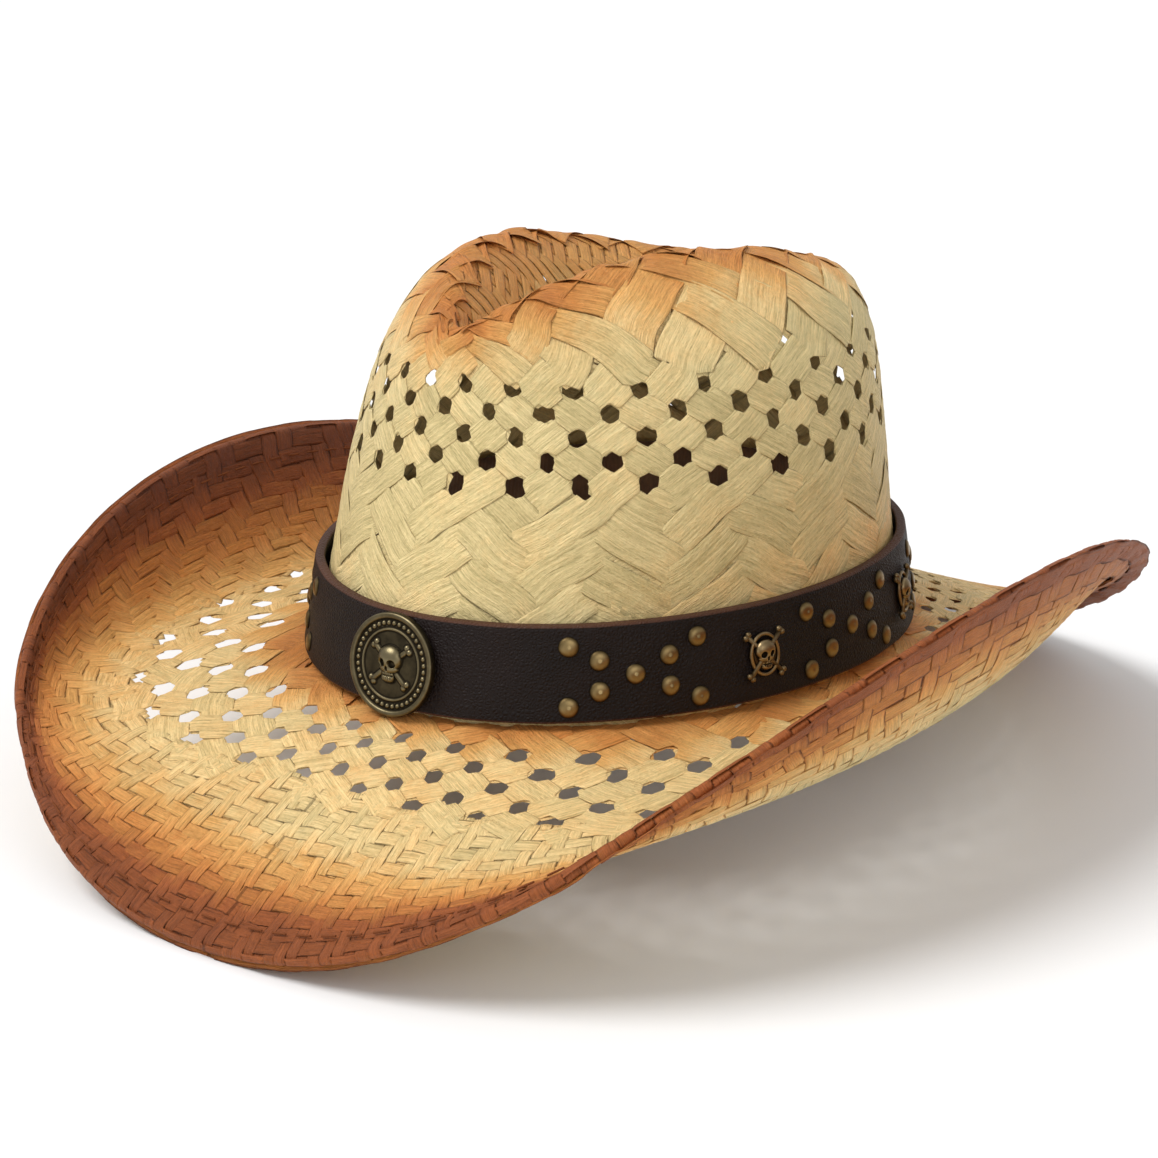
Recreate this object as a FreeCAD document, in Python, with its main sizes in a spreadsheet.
import FreeCAD
import Part
import Sketcher

import math
import os

# Western hat: a woven straw shell with a folded, wired brim edge, an inner
# sweatband, and a removable leather hat band with studs and conchos.
# Millimetres.  -Y is the front of the hat, +X the wearer's left, +Z up.
# The origin is at the middle of the box, on the surface that the brim rests on.

V = FreeCAD.Vector
doc = FreeCAD.newDocument("western_hat")

# ------------------------------------------------------------ dimensions
sheet = doc.addObject("Spreadsheet::Sheet", "dims")
DIMS = [
    ("straw_thick", 1.5),
    ("base_height", 48.7),
    ("rest_drop", 4.82),
    ("edge_half_wide", 151.0),
    ("edge_square_x", 6.0),
    ("edge_half_long", 215.5),
    ("edge_square_y", 19.0),
    ("edge_mean_z", 37.5),
    ("edge_curl_z", 41.5),
    ("edge_curl_z4", 4.5),
    ("edge_dip_z", 2.0),
    ("edge_tilt_z", 4.0),
    ("edge_back_trim", 0.033),
    ("curl_swell", 0.16),
    ("curl_swell_front", 0.33),
    ("curl_spread", 1.67),
    ("curl_power_side", 2.24),
    ("curl_power_front", 1.25),
    ("curl_power_shift", 0.76),
    ("curl_sag", 8.95),
    ("wire_radius", 0.55),
    ("channel_radius", 1.25),
    ("hem_width", 9.0),
    ("hem_slot", 0.3),
    ("ferrule_inner", 0.65),
    ("ferrule_outer", 0.9),
    ("ferrule_length", 5.0),
    ("stitch_radius", 0.3),
    ("stitch_length", 5.0),
    ("stitch_pitch", 8.8),
    ("stitch_inset", 6.5),
    ("sweat_thick", 1.2),
    ("sweat_low", 2.5),
    ("sweat_high", 34.0),
    ("sweat_gap", 1.3),
    ("sweat_stitches", 84.0),
    ("band_gap", 1.6),
    ("band_thick", 2.4),
    ("band_low", 1.5),
    ("band_high", 30.0),
    ("band_middle", 15.0),
    ("band_end_gap", 1.0),
    ("tab_wide", 26.0),
    ("tab_high", 25.0),
    ("tab_thick", 1.8),
    ("tab_rivet_x", 7.5),
    ("tab_rivet_z", 7.0),
    ("stud_radius", 3.1),
    ("stud_dome", 1.9),
    ("shank_radius", 0.8),
    ("clinch_radius", 1.5),
    ("clinch_thick", 0.5),
    ("concho_radius", 15.5),
    ("concho_thick", 1.8),
    ("concho_rim", 2.6),
    ("concho_rim_wide", 1.7),
    ("concho_ring_radius", 10.6),
    ("concho_beads", 40.0),
    ("post_radius", 2.4),
    ("screw_radius", 1.4),
    ("screw_head_radius", 4.0),
    ("screw_head_thick", 0.8),
    ("charm_half_wide", 5.3),
    ("charm_half_high", 6.4),
    ("charm_thick", 1.3),
    ("charm_bone_reach", 8.6),
    ("charm_post_radius", 1.1),
    ("washer_radius", 2.3),
    ("washer_thick", 0.5),
]
for row, (name, value) in enumerate(DIMS, start=1):
    sheet.set("A%d" % row, name)
    sheet.set("B%d" % row, str(value))
    sheet.setAlias("B%d" % row, name)

# Crown sections from the band up to the bottom of the crease: front reach,
# back reach, half width, pinch of the front, the heights above the band line
# at the front, the sides and the back, the lift of the left side over the
# right, and the lift of the fore part over the aft part.
CROWN = [
    ("base", 112, 97, 88.5, 0.00, 0, 0, 0, 0, 0),
    ("bandtop", 107, 96, 83.5, 0.02, 30, 30, 30, 0, 0),
    ("vents", 98, 95, 80.5, 0.06, 60, 62, 58, 0, 1),
    ("shoulder", 90, 95.5, 76.0, 0.16, 86, 91, 80, 1, 3),
    ("brow", 87, 96, 69.0, 0.32, 100, 109, 93, 1.5, 7),
    ("ridge", 86, 95, 59.0, 0.47, 107, 119, 101, 2, 10),
    ("crest", 82, 89, 47.5, 0.61, 110, 123, 103, 2, 10),
    ("lip", 73, 77, 36.0, 0.70, 105, 116, 99, 1.5, 7),
    ("slope", 54, 56, 23.0, 0.62, 97, 101, 94, 1, 3),
    ("floor", 26, 28, 10.0, 0.35, 92, 93, 92, 0, 0),
    ("pit", 0, 0, 0.0, 0.00, 91, 91, 91, 0, 0),
]
COLUMNS = ("front", "back", "half", "pinch", "zfront", "zside", "zback", "tilt", "fore")
for line, (ring, *values) in enumerate(CROWN):
    for col, (column, value) in enumerate(zip(COLUMNS, values)):
        cell = "%s%d" % ("DEFGHIJKL"[col], line + 1)
        sheet.set(cell, str(value))
        sheet.setAlias(cell, "crown_%s_%s" % (ring, column))
doc.recompute()


def val(name):
    return float(sheet.get(name))


RINGS = []
for ring in CROWN:
    RINGS.append([val("crown_%s_%s" % (ring[0], column)) for column in COLUMNS])

T = val("straw_thick")
BASE = val("base_height")

# --------------------------------------------------- shape of the hat
# theta is 0 at the front (-Y) and 90 degrees at the wearer's left (+X).


def oval(theta, front, back, half, pinch=0.0):
    s = math.sin(theta)
    c = math.cos(theta)
    mean = (front + back) / 2
    diff = (front - back) / 2
    wide = half * s * (1 - pinch * ((1 + c) / 2) ** 2)
    return wide, -(mean * c + diff * c * c)


def crown_ring(theta, ring):
    front, back, half, pinch, zfront, zside, zback, tilt, fore = ring
    x, y = oval(theta, front, back, half, pinch)
    c = math.cos(theta)
    z = BASE + zside
    z += (zfront - zside) * max(c, 0.0) ** 2
    z += (zback - zside) * max(-c, 0.0) ** 2
    z += tilt * math.sin(theta) + fore * c * math.sin(theta) ** 2
    return V(x, y, z)


def crown_point(theta, v):
    """Outer skin of the crown, v from 0 at the band line to 10 in the pit."""
    last = len(RINGS) - 1
    i = min(int(v), last - 1)
    t = v - i
    p1 = crown_ring(theta, RINGS[i])
    p2 = crown_ring(theta, RINGS[i + 1])
    p0 = crown_ring(theta, RINGS[i - 1]) if i > 0 else p1 * 2 - p2
    p3 = crown_ring(theta, RINGS[i + 2]) if i + 2 <= last else p2 * 2 - p1
    a = p1 * 2
    b = (p2 - p0) * t
    c = (p0 * 2 - p1 * 5 + p2 * 4 - p3) * t ** 2
    d = (p1 * 3 - p0 - p2 * 3 + p3) * t ** 3
    return (a + b + c + d) * 0.5


def edge_point(theta):
    trim = (1 - math.cos(theta)) ** 2 * math.sin(theta) ** 2
    k = 1 - val_edge["trim"] * trim
    x = val_edge["wide"] * math.sin(theta) - val_edge["sqx"] * math.sin(3 * theta)
    y = -val_edge["long"] * math.cos(theta) + val_edge["sqy"] * math.cos(3 * theta)
    z = val_edge["mean"] - val_edge["curl"] * math.cos(2 * theta)
    z += val_edge["curl4"] * math.cos(4 * theta)
    z += val_edge["dip"] * (math.cos(theta) - math.cos(3 * theta))
    z += val_edge["tilt"] * math.sin(theta) + val_edge["lift"]
    return V(x * k, y * k, z)


val_edge = {
    "wide": val("edge_half_wide"),
    "sqx": val("edge_square_x"),
    "long": val("edge_half_long"),
    "sqy": val("edge_square_y"),
    "mean": val("edge_mean_z"),
    "curl": val("edge_curl_z"),
    "curl4": val("edge_curl_z4"),
    "dip": val("edge_dip_z"),
    "tilt": val("edge_tilt_z"),
    "lift": val("rest_drop"),
    "trim": val("edge_back_trim"),
}
BRIM = {
    "swell": val("curl_swell"),
    "swell_front": val("curl_swell_front"),
    "spread": val("curl_spread"),
    "side": val("curl_power_side"),
    "front": val("curl_power_front"),
    "shift": val("curl_power_shift"),
    "sag": val("curl_sag"),
}


def brim_point(theta, t):
    """Upper skin of the brim, t from 0 at the crown to 1 at the edge."""
    bx, by = oval(theta, *RINGS[0][:3])
    edge = edge_point(theta)
    c = math.cos(theta)
    side = 1 - (c * c) ** BRIM["spread"]
    bump = math.sin(math.pi * t) * side
    plan = t + (BRIM["swell"] + BRIM["swell_front"] * c) * bump
    power = BRIM["front"] + (BRIM["side"] - BRIM["shift"] * c - BRIM["front"]) * side
    z = BASE + (edge.z - BASE) * t ** power - BRIM["sag"] * bump
    return V(bx + (edge.x - bx) * plan, by + (edge.y - by) * plan, z)


def skin_axes(point, theta, v, step):
    """Axes on a skin: du x dv, and the direction of growing v square to du."""
    du = point(theta + 0.004, v) - point(theta - 0.004, v)
    dv = point(theta, v + step) - point(theta, v - step)
    normal = du.cross(dv)
    normal.normalize()
    across = normal.cross(du)
    across.normalize()
    return normal, across


def crown_skin(theta, v, depth):
    if v >= 9.99:
        return crown_point(0, 10) - V(0, 0, depth)
    normal, _ = skin_axes(crown_point, theta, v, 0.01)
    return crown_point(theta, v) - normal * depth


def brim_axes(theta, t):
    """Upward normal of the brim and the direction out towards its edge."""
    normal, across = skin_axes(brim_point, theta, min(max(t, 0.001), 0.999), 0.001)
    return normal * -1, across


def brim_skin(theta, t, depth):
    normal, _ = brim_axes(theta, t)
    return brim_point(theta, t) - normal * depth


def brim_length(theta):
    total = 0.0
    old = brim_point(theta, 0)
    for i in range(1, 21):
        new = brim_point(theta, i / 20)
        total += (new - old).Length
        old = new
    return total


# ------------------------------------------- straw shell, one closed skin
STEPS = 56
ANGLES = [2 * math.pi * k / STEPS for k in range(STEPS)]
CROWN_V = [i / 3 for i in range(30, 0, -1)] + [0.17, 0.08]
BRIM_T = [0.025, 0.06, 0.11, 0.17, 0.24, 0.31, 0.38, 0.45, 0.52, 0.59, 0.66,
          0.73, 0.8, 0.86, 0.91, 0.95, 0.98]
RI = val("channel_radius")
RO = RI + T


def hem_rows():
    """The folded edge, from the outside of the fold to the channel inside."""
    rows = []
    outer = (90, 60, 30, 0, -30, -60, -90, -115)
    inner = (-120, -90, -60, -30, 0, 30, 60, 90, 120)
    low = 2 * T + val("hem_slot")
    high = T + val("hem_slot")
    wide = val("hem_width")
    for a in outer:
        rows.append(("arc", a, RO))
    for s in (3.8, 5.2, 7.0, wide - 0.6, wide):
        rows.append(("flat", s, low))
    rows.append(("flat", wide + 0.35, (low + high) / 2))
    for s in (wide, wide - 0.6, 7.0, 5.2, 3.8):
        rows.append(("flat", s, high))
    for a in inner:
        rows.append(("arc", a, RI))
    return rows


def edge_frame(theta):
    normal, across = brim_axes(theta, 1.0)
    return brim_point(theta, 1.0), normal, across


def hem_point(theta, row):
    kind, a, b = row
    if kind == "arc":
        here, normal, across = edge_frame(theta)
        centre = here - normal * (T + RI)
        angle = math.radians(a)
        return centre + across * (b * math.cos(angle)) + normal * (b * math.sin(angle))
    t = 1 - a / brim_length(theta)
    return brim_skin(theta, t, b)


grid = []
grid.append([crown_skin(0, 10, 0)] * STEPS)
for v in CROWN_V[1:]:
    grid.append([crown_skin(a, v, 0) for a in ANGLES])
for t in BRIM_T:
    grid.append([brim_skin(a, t, 0) for a in ANGLES])
for row in hem_rows():
    grid.append([hem_point(a, row) for a in ANGLES])
for t in reversed(BRIM_T[:-1]):
    grid.append([brim_skin(a, t, T) for a in ANGLES])
for v in reversed(CROWN_V[1:]):
    grid.append([crown_skin(a, v, T) for a in ANGLES])
grid.append([crown_skin(0, 10, T)] * STEPS)


def through(ring):
    """Poles of a periodic cubic spline that passes through the ring's points."""
    poles = list(ring)
    for _ in range(4):
        for k in range(len(ring)):
            after = poles[(k + 1) % len(ring)]
            poles[k] = (ring[k] * 6 - poles[k - 1] - after) * 0.25
    return poles


BAND_ROWS = 12


def closed_skin(rows, loop=False, band_rows=BAND_ROWS):
    """Cubic B-spline skin through a net of rings, in bands that meet smoothly."""
    rows = [through(row) for row in rows]
    cols = len(rows[0])
    surface = Part.BSplineSurface()
    poles = [[row[k] for row in rows] for k in range(cols)]
    uknots = list(range(cols + 1))
    umults = [1] * (cols + 1)
    if loop:
        vknots = list(range(len(rows) + 1))
        vmults = [1] * (len(rows) + 1)
    else:
        vknots = list(range(len(rows) - 2))
        vmults = [4] + [1] * (len(rows) - 4) + [4]
    surface.buildFromPolesMultsKnots(poles, umults, vmults, uknots, vknots,
                                     True, loop, 3, 3)
    faces = []
    for start in range(0, vknots[-1], band_rows):
        band = surface.copy()
        band.segment(0, cols, start, min(start + band_rows, vknots[-1]))
        faces.append(band.toShape())
    shell = Part.makeShell(faces)
    shell.sewShape()
    shape = Part.makeSolid(Part.makeShell(shell.Faces))
    if shape.Volume < 0:
        shape.reverse()
    return shape


NODES = []


def node(obj, label):
    obj.Label = label
    NODES.append(obj)
    return obj


def feature(name, shape):
    obj = doc.addObject("Part::Feature", name)
    obj.Shape = shape
    obj.Placement = FreeCAD.Placement()
    return node(obj, name)


feature("straw_body", closed_skin(grid))

# ------------------------------------------------ wire inside the folded edge
WIRE_SIDES = 20
wire_rows = []
wire_r = val("wire_radius")
for k in range(WIRE_SIDES):
    angle = 2 * math.pi * k / WIRE_SIDES
    ring = []
    for a in ANGLES:
        here, normal, across = edge_frame(a)
        centre = here - normal * (T + RI)
        ring.append(centre + across * (wire_r * math.cos(angle))
                    + normal * (wire_r * math.sin(angle)))
    wire_rows.append(ring)
feature("brim_wire", closed_skin(wire_rows, True, 1))

# ferrule that joins the ends of the wire at the back
here, normal, across = edge_frame(math.pi)
back_wire = here - normal * (T + RI)
sleeve = doc.addObject("Part::Cylinder", "ferrule_sleeve")
sleeve.setExpression("Radius", "dims.ferrule_outer")
sleeve.setExpression("Height", "dims.ferrule_length")
core = doc.addObject("Part::Cylinder", "ferrule_core")
core.setExpression("Radius", "dims.ferrule_inner")
core.setExpression("Height", "dims.ferrule_length")
ferrule = doc.addObject("Part::Cut", "brim_wire_ferrule")
ferrule.Base = sleeve
ferrule.Tool = core
ferrule.Placement = FreeCAD.Placement(
    back_wire - V(val("ferrule_length") / 2, 0, 0),
    FreeCAD.Rotation(V(0, 0, 1), V(1, 0, 0)),
)
node(ferrule, "brim_wire_ferrule")

# ------------------------------------------------------ stitches of the hem


def stitch(middle, along, radius, length):
    start = middle - along * (length / 2)
    return Part.makeCylinder(radius, length, start, along)


def seam(path, inset, pitch, length, radius, clear, count=None):
    """Stitches end to end along a ring given by path(theta, inset)."""
    fine = [2 * math.pi * k / 720 for k in range(721)]
    points = [path(a, inset)[0] for a in fine]
    run = [0.0]
    for p, q in zip(points, points[1:]):
        run.append(run[-1] + (q - p).Length)
    total = run[-1]
    number = int(count) if count else int(round(total / pitch))
    stitches = []
    k = 0
    for j in range(number):
        target = (j + 0.5) * total / number
        while run[k + 1] < target:
            k += 1
        a = fine[k] + (fine[k + 1] - fine[k]) * (target - run[k]) / (run[k + 1] - run[k])
        here, out = path(a, inset)
        ahead = path(a + 0.003, inset)[0]
        along = ahead - here
        along.normalize()
        stitches.append(stitch(here + out * (radius + clear), along, radius, length))
    return stitches


def hem_path(theta, inset):
    t = 1 - inset / brim_length(theta)
    normal, _ = brim_axes(theta, t)
    return brim_point(theta, t), normal


hem_thread = seam(hem_path, val("stitch_inset"), val("stitch_pitch"),
                  val("stitch_length"), val("stitch_radius"), 0.15)
feature("brim_hem_stitches", Part.makeCompound(hem_thread))

# ------------------------------------------- ovals that wrap the crown


def wrap(theta, height, offset):
    """Oval of the crown near the band line, grown outward by offset."""
    k = height / 30.0
    low, high = RINGS[0], RINGS[1]
    front = low[0] + (high[0] - low[0]) * k + offset
    back = low[1] + (high[1] - low[1]) * k + offset
    half = low[2] + (high[2] - low[2]) * k + offset
    x, y = oval(theta, front, back, half)
    return V(x, y, BASE + height)


def ring_wire(height, offset):
    curve = Part.BSplineCurve()
    points = [wrap(2 * math.pi * k / 72, height, offset) for k in range(72)]
    curve.interpolate(Points=points, PeriodicFlag=True)
    return curve.toShape()


def hoop(low, high, inner, outer):
    """Upright strip round the crown, closed on itself."""
    corners = [(low, inner), (low, outer), (high, outer), (high, inner)]
    edges = [ring_wire(z, off) for z, off in corners]
    faces = []
    for k in range(4):
        faces.append(Part.makeRuledSurface(edges[k], edges[(k + 1) % 4]))
    shell = Part.makeShell(faces)
    shell.sewShape()
    solid = Part.makeSolid(Part.makeShell(shell.Faces))
    if solid.Volume < 0:
        solid.reverse()
    return solid


# sweatband, just inside the straw
sweat_out = -(T + val("sweat_gap"))
sweat_in = sweat_out - val("sweat_thick")
feature("sweatband", hoop(val("sweat_low"), val("sweat_high"), sweat_in, sweat_out))


def sweat_path(theta, inset):
    here = wrap(theta, val("sweat_low") + inset, sweat_in)
    middle = wrap(theta, val("sweat_low") + inset, sweat_in - 5)
    inward = middle - here
    inward.normalize()
    return here, inward


sweat_thread = seam(sweat_path, 3.0, 1, 3.6, 0.25, 0.05, val("sweat_stitches"))
feature("sweatband_stitches", Part.makeCompound(sweat_thread))

# -------------------------------------------------------- leather hat band
band_in = val("band_gap")
band_out = band_in + val("band_thick")
MIDDLE = val("band_middle")


def seat(theta_deg, height, offset):
    """Placement on the band: local Z outward, local Y up."""
    theta = math.radians(theta_deg)
    here = wrap(theta, height, offset)
    side = wrap(theta + 0.01, height, offset) - wrap(theta - 0.01, height, offset)
    rise = wrap(theta, height + 1, offset) - wrap(theta, height - 1, offset)
    out = side.cross(rise)
    out.normalize()
    if out.dot(V(here.x, here.y, 0)) < 0:
        out = out * -1
    rise.normalize()
    across = rise.cross(out)
    across.normalize()
    rotation = FreeCAD.Rotation(across, rise, out, "ZXY")
    return FreeCAD.Placement(here, rotation)


STUD_SPOTS = [(-11.2, 8.8), (-11.2, -8.8), (-6.0, 4.5), (-6.0, -4.5), (0, 0),
              (5.8, 4.5), (5.8, -4.5), (10.8, 8.8), (10.8, -8.8)]
GROUPS = {
    "stud_group_left_front": 44.3,
    "stud_group_left_side": 88.0,
    "stud_group_left_back": 130.0,
    "stud_group_right_front": -44.3,
    "stud_group_right_side": -88.0,
    "stud_group_right_back": -130.0,
}
CHARMS = {
    "small_concho_left_front": 67.0,
    "small_concho_left_side": 108.5,
    "small_concho_left_back": 151.0,
    "small_concho_right_front": -67.0,
    "small_concho_right_side": -108.5,
    "small_concho_right_back": -151.0,
}
TAB_X = val("tab_rivet_x")
TAB_Z = val("tab_rivet_z")
TAB_SPOTS = []
for sx in (-1, 1):
    for sz in (-1, 1):
        TAB_SPOTS.append((180 + sx * math.degrees(TAB_X / 99.0), MIDDLE + sz * TAB_Z))


def stud_places(centre):
    sign = 1 if centre > 0 else -1
    return [seat(centre + sign * da, MIDDLE + dz, band_out) for da, dz in STUD_SPOTS]


holes = []


def punch(place, radius):
    cutter = Part.makeCylinder(radius, 12, V(0, 0, -8))
    cutter.Placement = place
    holes.append(cutter)


clear = 0.1
for centre in GROUPS.values():
    for place in stud_places(centre):
        punch(place, val("shank_radius") + clear)
for centre in CHARMS.values():
    punch(seat(centre, MIDDLE, band_out), val("charm_post_radius") + clear)
for spot in TAB_SPOTS:
    punch(seat(spot[0], spot[1], band_out), val("shank_radius") + clear)
punch(seat(0, MIDDLE - 0.5, band_out), val("post_radius") + clear)
slot = Part.makeBox(val("band_end_gap"), 30, 80, V(-val("band_end_gap") / 2, 80, BASE - 20))
strap = hoop(val("band_low"), val("band_high"), band_in, band_out)
strap = strap.cut(holes + [slot])
feature("hat_band_strap", strap.Solids[0])

# joining tab over the ends of the band at the back
tab_in = band_out + 0.15
tab_out = tab_in + val("tab_thick")
tab = hoop(MIDDLE - val("tab_high") / 2, MIDDLE + val("tab_high") / 2, tab_in, tab_out)
window = Part.makeBox(val("tab_wide"), 60, 80, V(-val("tab_wide") / 2, 60, BASE - 20))
tab_holes = []
for spot in TAB_SPOTS:
    cutter = Part.makeCylinder(val("shank_radius") + clear, 12, V(0, 0, -5))
    cutter.Placement = seat(spot[0], spot[1], tab_out)
    tab_holes.append(cutter)
tab = tab.common(window).cut(tab_holes)
feature("hat_band_tab", tab.Solids[0])

# ------------------------------------------------------------- metal studs


def plane(body, role):
    for origin in body.Origin.OriginFeatures:
        if origin.Role == role:
            return origin
    raise RuntimeError("no plane " + role)


def turned(name, outline, rules):
    """PartDesign body turned about its own vertical axis."""
    body = doc.addObject("PartDesign::Body", name)
    sketch = body.newObject("Sketcher::SketchObject", name + "_outline")
    sketch.AttachmentSupport = [(plane(body, "XZ_Plane"), "")]
    sketch.MapMode = "FlatFace"
    count = len(outline)
    for k in range(count):
        p, q = outline[k], outline[(k + 1) % count]
        sketch.addGeometry(Part.LineSegment(V(p[0], p[1], 0), V(q[0], q[1], 0)), False)
    for k in range(count):
        sketch.addConstraint(Sketcher.Constraint("Coincident", k, 2, (k + 1) % count, 1))
    for number, (kind, args, cell) in enumerate(rules):
        index = sketch.addConstraint(Sketcher.Constraint(kind, *args))
        if cell:
            sketch.renameConstraint(index, "rule%d" % number)
            sketch.setExpression("Constraints.rule%d" % number, cell)
    spin = body.newObject("PartDesign::Revolution", name + "_turn")
    spin.Profile = sketch
    spin.ReferenceAxis = (sketch, ["V_Axis"])
    spin.Angle = 360.0
    spin.Reversed = False
    body.Tip = spin
    doc.recompute()
    return body


def rivet_outline(grip):
    """Domed head above the leather, shank through it, clinch below."""
    r = val("stud_radius")
    dome = val("stud_dome")
    shank = val("shank_radius")
    clinch = val("clinch_radius")
    foot = val("clinch_thick")
    points = [(0, -grip - foot), (clinch, -grip - foot), (clinch, -grip - 0.05)]
    points += [(shank, -grip - 0.05), (shank, 0.05), (r, 0.05), (r, 0.35)]
    for k in range(1, 6):
        a = math.radians(15 * k)
        points.append((r * math.cos(a), 0.35 + (dome - 0.35) * math.sin(a)))
    points.append((0, dome))
    return points


def fix_outline(outline):
    rules = []
    for k, (x, y) in enumerate(outline):
        if x == 0:
            rules.append(("PointOnObject", (k, 1, -2), None))
        else:
            rules.append(("DistanceX", (-1, 1, k, 1, x), None))
        if y:
            rules.append(("DistanceY", (-1, 1, k, 1, y), None))
        else:
            rules.append(("PointOnObject", (k, 1, -1), None))
    return rules


def bound_rules(outline, cells):
    rules = []
    for rule in fix_outline(outline):
        kind, args, _ = rule
        cell = None
        if kind in ("DistanceX", "DistanceY"):
            cell = cells.get((kind, args[2]))
        rules.append((kind, args, cell))
    return rules


stud_line = rivet_outline(val("band_thick"))
stud_cells = {
    ("DistanceX", 1): "dims.clinch_radius",
    ("DistanceX", 2): "dims.clinch_radius",
    ("DistanceX", 3): "dims.shank_radius",
    ("DistanceX", 4): "dims.shank_radius",
    ("DistanceX", 5): "dims.stud_radius",
    ("DistanceX", 6): "dims.stud_radius",
}
stud = turned("stud", stud_line, bound_rules(stud_line, stud_cells))
tab_line = rivet_outline(val("band_thick") + val("tab_thick") + 0.15)
tab_stud = turned("tab_stud", tab_line, bound_rules(tab_line, stud_cells))


def copies(source, places):
    shapes = []
    for place in places:
        shape = source.Shape.copy()
        shape.Placement = place
        shapes.append(shape)
    return Part.makeCompound(shapes)


for name, centre in GROUPS.items():
    feature(name, copies(stud, stud_places(centre)))
feature("tab_rivets", copies(tab_stud, [seat(a, z, tab_out) for a, z in TAB_SPOTS]))

# ------------------------------------------------------------ front concho
R = val("concho_radius")
THICK = val("concho_thick")
RIM = val("concho_rim")
disc_line = [(0, 0.1), (R - 0.4, 0.1), (R, 0.5), (R, RIM - 0.4), (R - 0.5, RIM)]
disc_line += [(R - val("concho_rim_wide"), RIM - 0.1), (R - val("concho_rim_wide") - 0.5, THICK)]
disc_line += [(val("concho_ring_radius") + 0.6, THICK), (val("concho_ring_radius") + 0.3, THICK + 0.5)]
disc_line += [(val("concho_ring_radius") - 0.3, THICK + 0.5), (val("concho_ring_radius") - 0.6, THICK)]
disc_line += [(0, THICK)]
disc_cells = {
    ("DistanceX", 2): "dims.concho_radius",
    ("DistanceX", 3): "dims.concho_radius",
    ("DistanceX", 5): "dims.concho_radius - dims.concho_rim_wide",
    ("DistanceY", 7): "dims.concho_thick",
    ("DistanceY", 10): "dims.concho_thick",
}
disc = turned("concho_disc", disc_line, bound_rules(disc_line, disc_cells))


def ball(name, x, y, z, radius):
    obj = doc.addObject("Part::Sphere", name)
    obj.Radius = radius
    obj.Placement = FreeCAD.Placement(V(x, y, z), FreeCAD.Rotation())
    return obj


def rod(name, start, end, radius):
    obj = doc.addObject("Part::Cylinder", name)
    obj.Radius = radius
    obj.Height = (end - start).Length
    obj.Placement = FreeCAD.Placement(start, FreeCAD.Rotation(V(0, 0, 1), end - start))
    return obj


def fuse(name, shapes):
    obj = doc.addObject("Part::MultiFuse", name)
    obj.Shapes = shapes
    return obj


def cut(name, base, tool):
    obj = doc.addObject("Part::Cut", name)
    obj.Base = base
    obj.Tool = tool
    return obj


def bone(name, low, high, radius):
    """Straight shaft with two knobs at each end."""
    along = high - low
    aside = V(-along.y, along.x, 0)
    aside.normalize()
    along.normalize()
    parts = [rod(name, low, high, radius)]
    for j, end in enumerate((low - along * 0.25, high + along * 0.25)):
        for m, nudge in enumerate((-1, 1)):
            spot = end + aside * (nudge * radius * 0.93)
            parts.append(ball("%s_knob%d%d" % (name, j, m), spot.x, spot.y, spot.z, radius * 1.35))
    return parts


def skull(name, k, z, lift):
    """Plain skull of scale k; the sockets are cut out of it later."""
    jaw = rod(name + "_jaw", V(0, lift - 2.3 * k, z - 1.0), V(0, lift - 2.3 * k, z + 1.35 * k), 1.7 * k)
    brow = ball(name + "_cranium", 0, lift + 1.2 * k, z - 1.0 * k, 3.3 * k)
    sockets = [ball(name + "_nose", 0, lift - 1.2 * k, z + 1.7 * k, 0.45 * k)]
    for i, side in enumerate((-1, 1)):
        sockets.append(ball("%s_eye%d" % (name, i), side * 1.25 * k, lift + 0.2 * k, z + 1.9 * k, 0.85 * k))
    return [brow, jaw], sockets


def above(name, parts, floor):
    """The parts joined, with everything under the floor cut off."""
    box = doc.addObject("Part::Box", name + "_under")
    box.Length = 60
    box.Width = 60
    box.Height = 30
    box.Placement = FreeCAD.Placement(V(-30, -30, floor - 30), FreeCAD.Rotation())
    return cut(name, fuse(name + "_parts", parts), box)


beads = []
bead_count = int(val("concho_beads"))
bead_r = (val("concho_ring_radius") + R - val("concho_rim_wide")) / 2
for k in range(bead_count):
    a = 2 * math.pi * k / bead_count
    beads.append(ball("bead%02d" % k, bead_r * math.cos(a), bead_r * math.sin(a), THICK, 0.62))
head_parts, sockets = skull("concho_skull", 1.25, THICK - 0.2, 1.4)
cross = []
for i, side in enumerate((-1, 1)):
    low = V(-side * 6.0, -7.0, THICK + 0.3 + 0.2 * i)
    high = V(side * 6.0, -1.0, THICK + 0.3 + 0.2 * i)
    cross += bone("concho_bone%d" % i, low, high, 0.75 - 0.04 * i)
figure = above("concho_figure", head_parts + cross, 0.9)
post = rod("concho_post", V(0, 0, -val("band_thick") + 0.1), V(0, 0, 0.6), 1)
post.setExpression("Radius", "dims.post_radius")
raised = fuse("concho_raised", [disc, post, figure] + beads)
bore = rod("concho_bore", V(0, 0, -8), V(0, 0, 1.0), 1)
bore.setExpression("Radius", "dims.screw_radius + 0.12")
cutters = fuse("concho_cutters", sockets + [bore])
concho = cut("front_concho", raised, cutters)
concho.Placement = seat(0, MIDDLE - 0.5, band_out)
node(concho, "front_concho")

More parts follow.
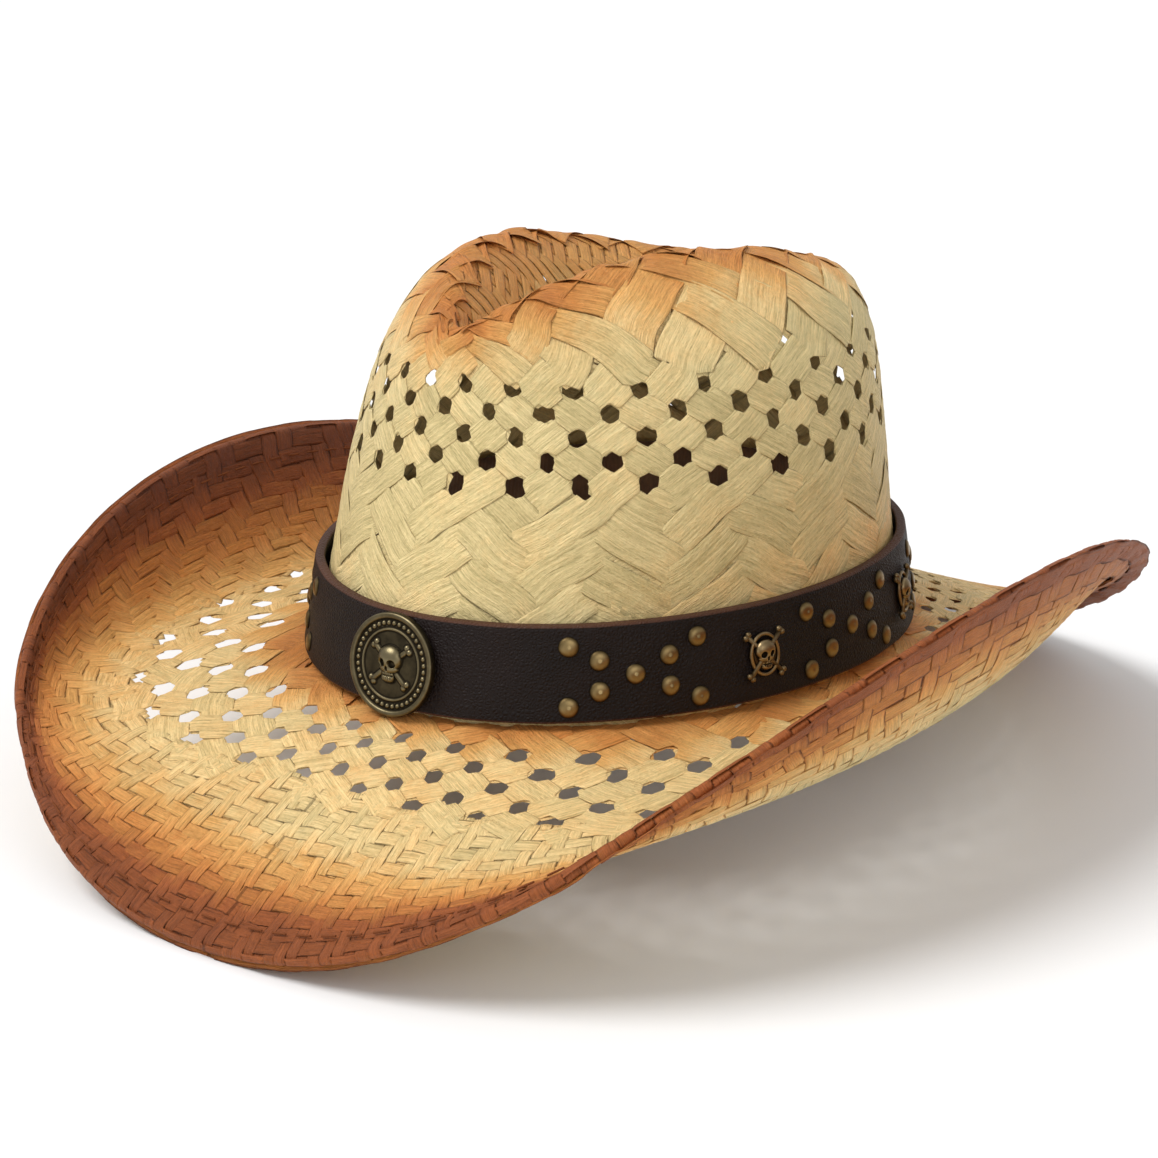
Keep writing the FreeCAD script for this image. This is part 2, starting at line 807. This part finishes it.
# screw from inside the band into the concho's post
head = rod("screw_head", V(0, 0, -1), V(0, 0, 0), 1)
head.setExpression("Radius", "dims.screw_head_radius")
head.setExpression("Height", "dims.screw_head_thick")
shaft = rod("screw_shaft", V(0, 0, 0), V(0, 0, 3.1), 1)
shaft.setExpression("Radius", "dims.screw_radius")
drive = doc.addObject("Part::Box", "screw_slot")
drive.Length = 7.0
drive.Width = 0.8
drive.Height = 0.35
slot_depth = -val("screw_head_thick")
head.Placement = FreeCAD.Placement(V(0, 0, slot_depth), FreeCAD.Rotation())
drive.Placement = FreeCAD.Placement(V(-3.5, -0.4, slot_depth - 0.05), FreeCAD.Rotation())
blank = fuse("screw_blank", [head, shaft])
screw = cut("front_concho_screw", blank, drive)
screw.Placement = concho.Placement.multiply(
    FreeCAD.Placement(V(0, 0, -val("band_thick") - 0.14), FreeCAD.Rotation()))
node(screw, "front_concho_screw")

# -------------------------------------------------------- small conchos


def oval_pad(body, name, ovals, height):
    """Pad of one ellipse, or of the ring between two, on the body's base plane."""
    sketch = body.newObject("Sketcher::SketchObject", name + "_sketch")
    sketch.AttachmentSupport = [(plane(body, "XY_Plane"), "")]
    sketch.MapMode = "FlatFace"
    for high, wide in ovals:
        sketch.addGeometry(Part.Ellipse(V(0, high, 0), V(wide, 0, 0), V(0, 0, 0)), False)
    pad = body.newObject("PartDesign::Pad", name + "_pad")
    pad.Profile = sketch
    pad.setExpression("Length", height)
    body.Tip = pad


def small_concho(name, centre):
    wide = val("charm_half_wide")
    high = val("charm_half_high")
    rim = 1.1
    plate = doc.addObject("PartDesign::Body", name + "_plate")
    oval_pad(plate, name + "_floor", [(high - 0.2, wide - 0.2)], "dims.charm_thick * 0.6")
    oval_pad(plate, name + "_rim", [(high, wide), (high - rim, wide - rim)], "dims.charm_thick")
    plate.Placement = FreeCAD.Placement(V(0, 0, 0.1), FreeCAD.Rotation())
    head_parts, sockets = skull(name + "_skull", 0.98, 0.7, 0.3)
    reach = val("charm_bone_reach")
    cross = []
    for i, side in enumerate((-1, 1)):
        tip = V(side * reach * 0.66, reach * 0.72, 0.8 + 0.15 * i)
        cross += bone("%s_bone%d" % (name, i), V(-tip.x, -tip.y, tip.z), tip, 0.65 - 0.03 * i)
    figure = above(name + "_figure", head_parts + cross, 0.3)
    peg = rod(name + "_peg", V(0, 0, -val("band_thick") - 0.45), V(0, 0, 0.6), 1)
    peg.setExpression("Radius", "dims.charm_post_radius")
    whole = fuse(name + "_whole", [plate, figure, peg])
    charm = cut(name, whole, fuse(name + "_sockets", sockets))
    charm.Placement = seat(centre, MIDDLE, band_out)
    return node(charm, name)


for name, centre in CHARMS.items():
    small_concho(name, centre)

washer_out = doc.addObject("Part::Cylinder", "washer_blank")
washer_out.setExpression("Radius", "dims.washer_radius")
washer_out.setExpression("Height", "dims.washer_thick")
washer_in = doc.addObject("Part::Cylinder", "washer_hole")
washer_in.setExpression("Radius", "dims.charm_post_radius + 0.1")
washer_in.setExpression("Height", "dims.washer_thick")
washer = cut("washer_master", washer_out, washer_in)
doc.recompute()
washer_places = []
inside = FreeCAD.Placement(
    V(0, 0, -val("band_thick") - 0.1 - val("washer_thick")), FreeCAD.Rotation())
for centre in CHARMS.values():
    washer_places.append(seat(centre, MIDDLE, band_out).multiply(inside))
feature("small_concho_washers", copies(washer, washer_places))

# ------------------------------------------------------- check and export
doc.recompute()
for obj in doc.Objects:
    if "Invalid" in obj.State or "Error" in obj.State:
        raise RuntimeError("failed feature " + obj.Name)
os.makedirs("parts", exist_ok=True)
for obj in NODES:
    shape = obj.Shape
    if shape.isNull() or not shape.isValid() or shape.Volume <= 0:
        raise RuntimeError("bad shape " + obj.Label)
    shape.exportStep("parts/%s.step" % obj.Label)
    box = shape.BoundBox
    print("%-26s %3d solids %9.1f mm3  z %7.2f %7.2f" % (
        obj.Label, len(shape.Solids), shape.Volume, box.ZMin, box.ZMax))
whole = Part.makeCompound([obj.Shape for obj in NODES]).BoundBox
print("box", [round(v, 2) for v in (whole.XMin, whole.XMax, whole.YMin, whole.YMax, whole.ZMin, whole.ZMax)])
